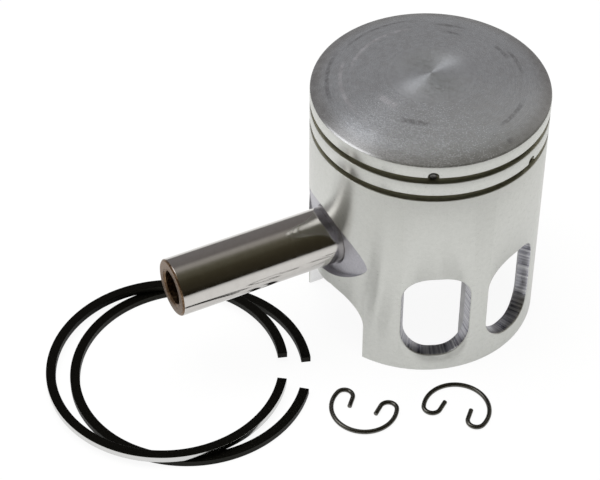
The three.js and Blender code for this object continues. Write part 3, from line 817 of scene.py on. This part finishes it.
# %% Skin of a casting
cast_skin, given, result = mark_group("cast_skin", {"Grain": 0.45}, ["Height", "Shade"])
pits = noise_of_size(cast_skin, given["Grain"], 5.0, 0.65)
flow = node(cast_skin, "ShaderNodeTexNoise", Vector=millimetres(cast_skin)[0], Scale=0.16,
            Detail=2.0).outputs[0]
cast_skin.links.new(pits, result["Height"])
cast_skin.links.new(calc(cast_skin, "ADD", calc(cast_skin, "MULTIPLY", pits, 0.35),
                         calc(cast_skin, "MULTIPLY", flow, 0.65)), result["Shade"])
print("shared marks:", [mark.name for mark in (tool_lines, clouds, rub, round_streaks, cast_skin)])

# %% [markdown]
# ## Metals
# All of them are a Principled shader with Metallic at or near 1. What tells them apart is
# the tint, how far a reflection is blurred, and the direction of the blur. Turning leaves
# circular grooves too fine to see. A reflection is smeared across them and stays sharp
# along them, so the turned faces have a tangent round the Z axis and an anisotropic
# rotation of a quarter turn: up and down on the skirt, outwards on the crown. The crown,
# the skirt and the pockets are a little less than fully metallic, because handling and
# oxide have left them slightly milky.


# %% Metal helpers
def metal(name, roughness, anisotropy=0.0, round_axis=None):
    """A bare metal, with its blur turned across the lines that run round an axis."""
    material, tree = new_material(name)
    shader = node(tree, "ShaderNodeBsdfPrincipled", Metallic=1.0, Roughness=roughness)
    shader.inputs["Anisotropic"].default_value = anisotropy
    if round_axis:
        shader.inputs["Anisotropic Rotation"].default_value = 0.25
        tangent = tree.nodes.new("ShaderNodeTangent")
        tangent.direction_type = "RADIAL"
        tangent.axis = round_axis
        tree.links.new(tangent.outputs[0], shader.inputs["Tangent"])
    node(tree, "ShaderNodeOutputMaterial", Surface=shader.outputs[0])
    return material, tree, shader


def tinted(tree, value, low, high, stops):
    """A colour that follows a mark: the value spread over the stops."""
    return ramp(tree, span(tree, value, low, high, smooth=False), stops)


def paint(tree, shader, value, low, high, stops):
    """The metal's own colour, following a mark."""
    tree.links.new(tinted(tree, value, low, high, stops), shader.inputs["Base Color"])


def follow(tree, shader, label, value, low, high, to_low, to_high):
    """One of the metal's inputs carried from to_low to to_high by a mark."""
    tree.links.new(span(tree, value, low, high, to_low, to_high), shader.inputs[label])


def relief(tree, shader, height, depth):
    """A bump of that many millimetres."""
    bump = node(tree, "ShaderNodeBump", Height=height, Distance=depth * MM, Strength=1.0)
    tree.links.new(bump.outputs[0], shader.inputs["Normal"])


def clouded(name, size, contrast, stops, roughness, rough_range, depth):
    """A metal whose colour, blur and relief all follow the cloudy patches."""
    material, tree, shader = metal(name, roughness)
    patch = marks(tree, clouds, Size=size, Contrast=contrast)["Patches"]
    paint(tree, shader, patch, 0.2, 0.8, stops)
    follow(tree, shader, "Roughness", patch, 0.2, 0.8, *rough_range)
    relief(tree, shader, patch, depth)
    return material, tree, shader, patch


# %% Turned skirt and lands
skirt_metal, tree, shader = metal("turned_skirt", 0.3, 0.9, "Z")
lines = marks(tree, round_streaks, Spacing=0.12, Shortness=5.0)["Streaks"]
handled = marks(tree, clouds, Size=4.0, Contrast=1.3)["Patches"]
specks = marks(tree, clouds, Size=0.8, Contrast=1.4)["Patches"]
tone = calc(tree, "ADD", calc(tree, "MULTIPLY", lines, 0.35),
            calc(tree, "ADD", calc(tree, "MULTIPLY", handled, 0.35),
                 calc(tree, "MULTIPLY", specks, 0.3)))
paint(tree, shader, tone, 0.32, 0.68, [
    (0.0, (0.580, 0.590, 0.560)), (0.5, (0.655, 0.664, 0.636)), (1.0, (0.720, 0.728, 0.700))])
follow(tree, shader, "Roughness", tone, 0.3, 0.7, 0.27, 0.33)
follow(tree, shader, "Metallic", handled, 0.2, 0.8, 0.86, 0.92)
relief(tree, shader, lines, 0.0008)

# %% Ring grooves
groove_metal, tree, shader = metal("ring_groove", 0.35)
lines = marks(tree, round_streaks, Spacing=0.2, Shortness=3.0)["Streaks"]
# Painted shade: the groove's colours are darker and browner than the skirt's, though it is the same
# turned metal, for the shade inside the groove; the streaks in them are turning marks.
paint(tree, shader, lines, 0.3, 0.7, [
    (0.0, (0.38, 0.37, 0.30)), (1.0, (0.58, 0.57, 0.49))])
follow(tree, shader, "Roughness", lines, 0.3, 0.7, 0.28, 0.42)
relief(tree, shader, lines, 0.002)

# %% Turned crown
crown_metal, tree, shader = metal("turned_crown", 0.45, 0.8, "Z")
from_centre = from_axis(tree)
rings_cut = marks(tree, tool_lines, Along=from_centre, Spacing=0.34)["Lines"]
handled = marks(tree, clouds, Size=6.0, Contrast=1.7)["Patches"]
brushed = marks(tree, round_streaks, Spacing=0.30, Shortness=3.2)["Streaks"]
tone = calc(tree, "ADD", calc(tree, "MULTIPLY", rings_cut, 0.2),
            calc(tree, "ADD", calc(tree, "MULTIPLY", handled, 0.25),
                 calc(tree, "MULTIPLY", brushed, 0.55)))
colour = tinted(tree, tone, 0.25, 0.75, [
    (0.0, (0.330, 0.348, 0.370)), (0.5, (0.515, 0.536, 0.563)), (1.0, (0.680, 0.700, 0.728))])
# Painted shade: from 16.8 mm out to the rim the crown's colour is greyed, up to 0.8 of the way to
# dark grey, for the darker light that the sloping squish band and rim catch.
colour = mixed(tree, span(tree, from_centre, 16.8, 19.5, 0.0, 0.8), colour, (0.36, 0.36, 0.36))
DARK_RUBS = [(11.9, 0.7, 228, 14), (14.8, 0.6, 48, 12), (12.4, 0.5, 44, 9), (14.0, 0.6, 4, 9),
             (15.2, 0.5, -8, 14), (18.5, 0.6, -75.5, 2.6), (16.4, 0.45, 96, 30),
             (17.2, 0.5, 150, 26), (15.6, 0.5, -60, 16)]
PALE_RUBS = [(10.0, 0.9, 195, 14), (13.4, 0.5, 110, 40), (15.0, 0.5, 160, 30)]
for rubs, over in ((DARK_RUBS, (0.22, 0.22, 0.23)), (PALE_RUBS, (0.74, 0.74, 0.78))):
    total = 0.0
    for radius, width, azimuth, reach in rubs:
        mask = marks(tree, rub, Radius=radius, Width=width, Azimuth=azimuth, Reach=reach)["Mask"]
        total = calc(tree, "MAXIMUM", mask, total)
    colour = mixed(tree, calc(tree, "MULTIPLY", total, 0.6), colour, over)
tree.links.new(colour, shader.inputs["Base Color"])
blur = calc(tree, "ADD", span(tree, from_centre, 2.5, 8.5, 0.62, 0.27),
            span(tree, tone, 0.3, 0.7, -0.04, 0.04))
tree.links.new(blur, shader.inputs["Roughness"])
follow(tree, shader, "Metallic", handled, 0.2, 0.8, 0.85, 0.92)
relief(tree, shader, calc(tree, "ADD", rings_cut, brushed), 0.004)

# %% Pocket floor
pocket_metal, tree, shader, patch = clouded("milled_pocket", 2.0, 1.5, [
    (0.0, (0.430, 0.425, 0.465)), (1.0, (0.580, 0.575, 0.615))], 0.45, (0.38, 0.5), 0.01)
follow(tree, shader, "Metallic", patch, 0.2, 0.8, 0.82, 0.9)

# %% Walls of the windows and cutaways, dragged by the tool that trimmed them
wall_metal, tree, shader = metal("trimmed_wall", 0.35)
x, y, z = millimetres(tree)[1]
scale = calc(tree, "DIVIDE", 90.0, from_axis(tree))
spot = node(tree, "ShaderNodeCombineXYZ", X=calc(tree, "MULTIPLY", x, scale),
            Y=calc(tree, "MULTIPLY", y, scale), Z=calc(tree, "MULTIPLY", z, 4.5))
dragged = node(tree, "ShaderNodeTexNoise", Vector=spot.outputs[0], Scale=0.5, Detail=4.0,
               Roughness=0.6).outputs[0]
paint(tree, shader, dragged, 0.35, 0.65, [
    (0.0, (0.24, 0.24, 0.28)), (0.5, (0.52, 0.52, 0.56)), (1.0, (0.84, 0.84, 0.85))])
follow(tree, shader, "Roughness", dragged, 0.35, 0.65, 0.26, 0.48)
relief(tree, shader, dragged, 0.05)

# %% Milled faces of the cutaways
cutaway_metal, tree, shader = metal("milled_cutaway", 0.2)
passes = marks(tree, tool_lines, Along=millimetres(tree)[1][2], Spacing=0.4)["Lines"]
paint(tree, shader, passes, 0.3, 0.7, [
    (0.0, (0.80, 0.80, 0.80)), (1.0, (0.91, 0.91, 0.91))])
follow(tree, shader, "Roughness", passes, 0.3, 0.7, 0.16, 0.26)
relief(tree, shader, passes, 0.003)

# %% Cast inside
cast_metal, tree, shader = metal("cast_inside", 0.5)
skin = marks(tree, cast_skin, Grain=0.45)
paint(tree, shader, skin["Shade"], 0.3, 0.7, [
    (0.0, (0.42, 0.42, 0.44)), (1.0, (0.62, 0.62, 0.62))])
follow(tree, shader, "Roughness", skin["Height"], 0.3, 0.7, 0.42, 0.58)
relief(tree, shader, skin["Height"], 0.05)

# %% Ground pin, and its drilled and blued ends
pin_metal, tree, shader = metal("ground_pin", 0.1)
x = millimetres(tree)[1][0]
lines = marks(tree, tool_lines, Along=x, Spacing=0.16)["Lines"]
smears = marks(tree, clouds, Size=7.0, Contrast=1.6)["Patches"]
paint(tree, shader, smears, 0.2, 0.8, [
    (0.0, (0.530, 0.512, 0.490)), (1.0, (0.580, 0.562, 0.540))])
follow(tree, shader, "Roughness", calc(tree, "MULTIPLY", lines, smears), 0.1, 0.4, 0.07, 0.14)
relief(tree, shader, lines, 0.0003)

pin_end_metal = clouded("drilled_pin_end", 1.6, 1.8, [
    (0.0, (0.085, 0.050, 0.028)), (0.6, (0.190, 0.118, 0.070)), (1.0, (0.290, 0.205, 0.125))],
    0.35, (0.28, 0.45), 0.01)[0]

# %% Rings, wire and pegs
black_metal = clouded("black_ring", 1.2, 1.6, [
    (0.0, (0.008, 0.008, 0.007)), (1.0, (0.024, 0.023, 0.019))], 0.5, (0.44, 0.6), 0.008)[0]
wire_metal = clouded("spring_wire", 0.9, 1.8, [
    (0.0, (0.085, 0.083, 0.074)), (1.0, (0.160, 0.156, 0.140))], 0.25, (0.2, 0.34), 0.004)[0]
peg_metal = clouded("peg_steel", 0.6, 1.6, [
    (0.0, (0.12, 0.12, 0.115)), (1.0, (0.22, 0.22, 0.21))], 0.35, (0.28, 0.42), 0.004)[0]

bright_metal, tree, shader = metal("chromed_face", 0.12)
lines = marks(tree, tool_lines, Along=millimetres(tree)[1][2], Spacing=0.1)["Lines"]
paint(tree, shader, lines, 0.25, 0.75, [
    (0.0, (0.55, 0.55, 0.55)), (1.0, (0.65, 0.65, 0.64))])
follow(tree, shader, "Roughness", lines, 0.3, 0.7, 0.09, 0.16)
relief(tree, shader, lines, 0.0006)

print("metals:", [material.name for material in bpy.data.materials])

# %% Metals on the piston, face by face
for material in (skirt_metal, crown_metal, pocket_metal, cast_metal, wall_metal, groove_metal,
                 cutaway_metal):
    piston.data.materials.append(material)
SKIRT, CROWN, POCKET, CAST, WALL, GROOVE, CUTAWAY = range(7)


def face_places(piece):
    """Each face's centre, in millimetres, and its normal."""
    count = len(piece.data.polygons)
    centre, normal = np.empty(count * 3), np.empty(count * 3)
    piece.data.polygons.foreach_get("center", centre)
    piece.data.polygons.foreach_get("normal", normal)
    return centre.reshape(-1, 3) / MM, normal.reshape(-1, 3)


centre, normal = face_places(piston)
radius = np.hypot(centre[:, 0], centre[:, 1])
from_pin = np.hypot(centre[:, 1], centre[:, 2] - PIN_Z)
facing = (centre[:, :2] * normal[:, :2]).sum(1) / np.maximum(radius, 1e-6)
index = np.full(len(centre), CAST)
index[(radius > GROOVE_ROOT_R - 0.1) & ((facing > 0.3) | (centre[:, 2] > -10.5))] = SKIRT
index[centre[:, 2] > RIM_Z - 0.1] = CROWN
fullness = np.where(centre[:, 2] > PIN_Z, UPPER_FULLNESS, LOWER_FULLNESS)
eye_value = (np.abs(centre[:, 1] / (POCKET_HALF_W + 0.05)) ** fullness
             + np.abs((centre[:, 2] - PIN_Z) / (POCKET_HALF_H + 0.05)) ** fullness)
in_pocket = ((eye_value < 1) & (np.abs(centre[:, 0]) > 14) & (radius < SKIRT_R - 0.02)
             & (from_pin > BORE_R - 0.1))
index[in_pocket] = POCKET
in_wall = ((index == CAST) & (radius > WALL_R - 0.3) & (np.abs(facing) < 0.35)
           & (centre[:, 2] > BASE_Z + 0.4) & (centre[:, 2] < WINDOW_HIGH + 1)
           & (np.abs(normal[:, 0] * centre[:, 0]) < 19))
index[in_wall] = WALL
in_cutaway = (((index == CAST) | (index == WALL)) & (np.abs(centre[:, 1]) < CUTAWAY_HALF + 0.15)
              & (np.abs(centre[:, 0]) > 10.3) & (np.abs(facing) < 0.85)
              & (centre[:, 2] < CUTAWAY_TOP + 0.3) & (centre[:, 2] > BASE_Z + 0.02)
              & (from_pin > BOSS_R + 0.05) & (radius > WALL_R - 0.05))
index[in_cutaway] = CUTAWAY
in_groove = (radius < SKIRT_R - EDGE - 0.01) & (radius > SLOT_FLOOR_R - 0.2) & (
    centre[:, 2] > groove_tops[1] - GROOVE_HEIGHT - 0.1) & (centre[:, 2] < RIM_Z - 1)
index[in_groove] = GROOVE
piston.data.polygons.foreach_set("material_index", index.astype(np.int32))
print("faces of skirt, crown, pocket, cast, wall, groove, cutaway:",
      np.bincount(index, minlength=7))

# %% Metals on the small pieces
pin.data.materials.append(pin_metal)
pin.data.materials.append(pin_end_metal)
centre, normal = face_places(pin)
at_end = np.abs(centre[:, 0] - pin_middle) > PIN_LENGTH / 2 - PIN_CHAMFER + 0.02
in_hole = np.hypot(centre[:, 1], centre[:, 2] - PIN_Z) < PIN_HOLE_R + PIN_CHAMFER
pin.data.polygons.foreach_set("material_index", (at_end | in_hole).astype(np.int32))
for piece in pegs:
    piece.data.materials.append(peg_metal)
for piece in clips:
    piece.data.materials.append(wire_metal)
for piece in (second_ring, top_ring):
    piece.data.materials.append(black_metal)
top_ring.data.materials.append(bright_metal)
centre, _ = face_places(top_ring)
reach = np.hypot(*(centre[:, :2] - np.array(RING_CENTRES["top_ring"])).T)
top_ring.data.polygons.foreach_set(
    "material_index", (reach > RING_FREE_R - 0.1).astype(np.int32))

# %% [markdown]
# ## Riding on the bodies
# Every piece stands for one engineering node and moves with that node's body.

# %% Bodies, nodes and slots
STANDS_FOR = [
    (piston, "piston_body", "piston", "piston_alloy"),
    (pegs[0], "ring_peg_upper", "piston", "peg_steel"),
    (pegs[1], "ring_peg_lower", "piston", "peg_steel"),
    (pin, "wrist_pin", "pin", "ground_pin_steel"),
    (top_ring, "compression_ring_top", "top_ring", "chromed_ring_iron"),
    (second_ring, "compression_ring_second", "second_ring", "dark_ring_iron"),
    (clips[0], "circlip_left", "left_circlip", "spring_wire"),
    (clips[1], "circlip_right", "right_circlip", "spring_wire"),
]
for piece, node_name, body, slot_name in STANDS_FOR:
    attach(piece, body)
    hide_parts(node_name)

# %% View settings and the end
bpy.context.scene.view_settings.view_transform = "Standard"
